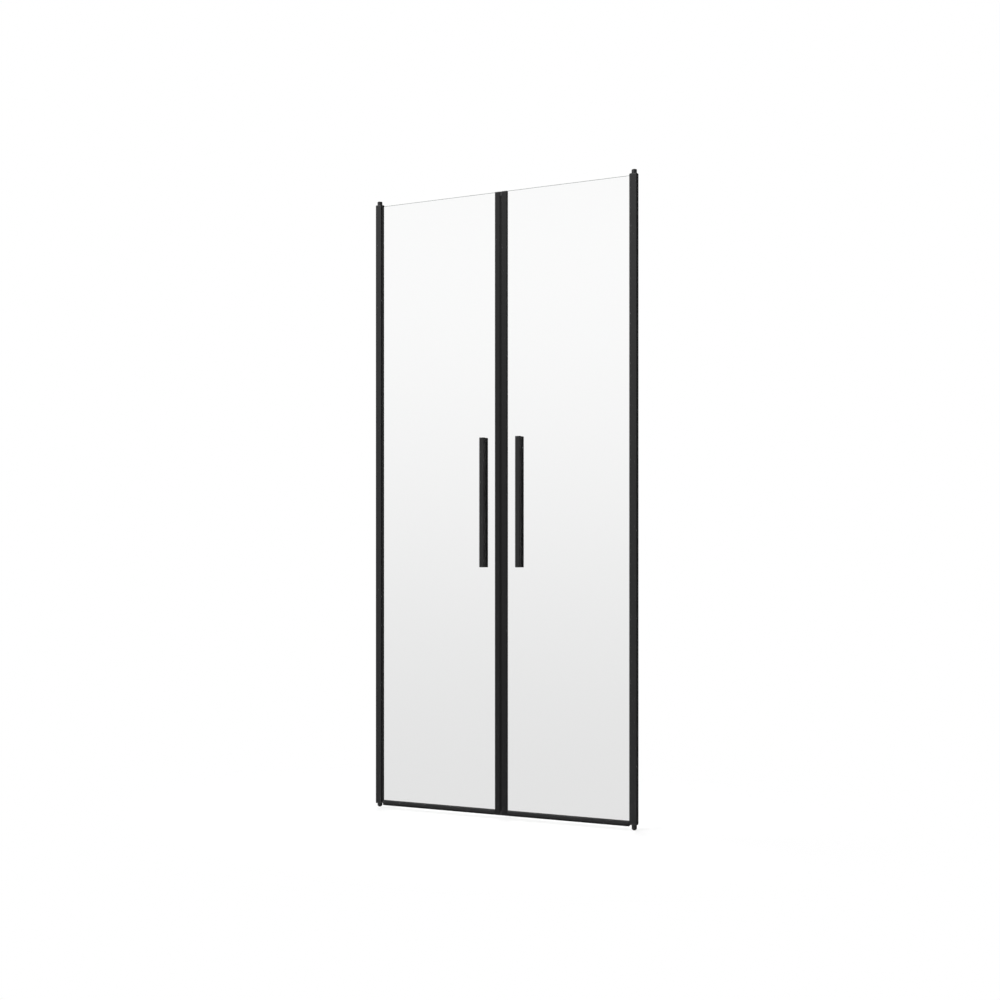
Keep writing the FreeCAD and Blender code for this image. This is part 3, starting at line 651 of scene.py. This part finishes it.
lit = add_node(tree, "ShaderNodeMixShader", {
    "Fac": ray.outputs["Is Camera Ray"], 1: plain.outputs["BSDF"], 2: shown.outputs["Shader"],
})
mirrored = add_node(tree, "ShaderNodeMath", {
    0: ray.outputs["Is Transmission Ray"], 1: ray.outputs["Is Glossy Ray"],
}, operation="MAXIMUM")
through = add_node(tree, "ShaderNodeBsdfTransparent")
paper_shader = add_node(tree, "ShaderNodeMixShader", {
    "Fac": mirrored.outputs["Value"], 1: lit.outputs["Shader"], 2: through.outputs["BSDF"],
})
tree.links.new(paper_shader.outputs["Shader"], tree.nodes["Material Output"].inputs["Surface"])
floor_mesh.materials.append(paper)

# The world is white to the camera. Straight through a pane it fades from white above to pale grey
# below. All other rays meet a dim room that is open at the front left, and those that a gloss has
# turned on their way through a pane meet a half of each.
FADE_LOW, FADE_HIGH, FADE_GREY = -0.215, 0.235, 0.79
OPEN_SIDE, ROOM_DIM, ROOM_OPEN = (-0.43, -0.9, 0.0), 0.1, 0.4
MIRROR_LOSS = 0.5
world = bpy.data.worlds.new("studio")
bpy.context.scene.world = world
world.use_nodes = True
tree = world.node_tree
tree.nodes.clear()
ray = add_node(tree, "ShaderNodeLightPath")
direction = add_node(tree, "ShaderNodeTexCoord")
rise = add_node(tree, "ShaderNodeSeparateXYZ", {"Vector": direction.outputs["Generated"]})
fade = add_node(tree, "ShaderNodeMapRange", {
    "Value": rise.outputs["Z"], "From Min": FADE_LOW, "From Max": FADE_HIGH,
    "To Min": FADE_GREY, "To Max": 1.0,
}, interpolation_type="SMOOTHSTEP")
open_side = add_node(tree, "ShaderNodeVectorMath", {
    0: direction.outputs["Generated"], 1: OPEN_SIDE,
}, operation="DOT_PRODUCT")
surround = add_node(tree, "ShaderNodeMapRange", {
    "Value": open_side.outputs["Value"], "From Min": -1.0, "From Max": 1.0,
    "To Min": ROOM_DIM, "To Max": ROOM_OPEN,
})
room = add_node(tree, "ShaderNodeBackground", {"Color": surround.outputs["Result"], "Strength": 1.0})
white = add_node(tree, "ShaderNodeBackground", {"Color": WHITE, "Strength": 1.0})
backdrop = add_node(tree, "ShaderNodeBackground", {"Color": fade.outputs["Result"], "Strength": 1.0})
bounced = add_node(tree, "ShaderNodeMath", {
    0: ray.outputs["Glossy Depth"], 1: MIRROR_LOSS, 2: ray.outputs["Diffuse Depth"],
}, operation="MULTIPLY_ADD")
straight = add_node(tree, "ShaderNodeMath", {
    0: 1.0, 1: bounced.outputs["Value"],
}, operation="SUBTRACT", use_clamp=True)
clear_sight = add_node(tree, "ShaderNodeMath", {
    0: ray.outputs["Is Transmission Ray"], 1: straight.outputs["Value"],
}, operation="MULTIPLY")
behind_glass = add_node(tree, "ShaderNodeMixShader", {
    "Fac": clear_sight.outputs["Value"],
    1: room.outputs["Background"], 2: backdrop.outputs["Background"],
})
studio = add_node(tree, "ShaderNodeMixShader", {
    "Fac": ray.outputs["Is Camera Ray"],
    1: behind_glass.outputs["Shader"], 2: white.outputs["Background"],
})
add_node(tree, "ShaderNodeOutputWorld", {"Surface": studio.outputs["Shader"]})

LAMP_WIDTH, LAMP_AIM = 7.4, Vector((0, 0, 1.0))
for name, stand, power in (
    ("key_softbox", Vector((-7.4, -9.9, 12.2)), 2350),
    ("rear_softbox", Vector((-7.4, 9.9, 12.2)), 1770),
):
    light = bpy.data.lights.new(name, "AREA")
    light.size = LAMP_WIDTH
    light.energy = power
    lamp = bpy.data.objects.new(name, light)
    lamp.location = stand
    lamp.rotation_euler = (LAMP_AIM - stand).to_track_quat("-Z", "Y").to_euler()
    bpy.context.scene.collection.objects.link(lamp)

CAMERA_PLACE, CAMERA_TURN = (1.865, -3.925, 0.791), math.radians(25.48)
lens = bpy.data.cameras.new("camera")
lens.lens = 50.0
lens.sensor_width = 36.0
lens.shift_y = 0.0605
camera = bpy.data.objects.new("camera", lens)
camera.location = CAMERA_PLACE
camera.rotation_euler = (math.radians(90), 0, CAMERA_TURN)
bpy.context.scene.collection.objects.link(camera)
bpy.context.scene.camera = camera
bpy.context.scene.view_settings.view_transform = "Standard"
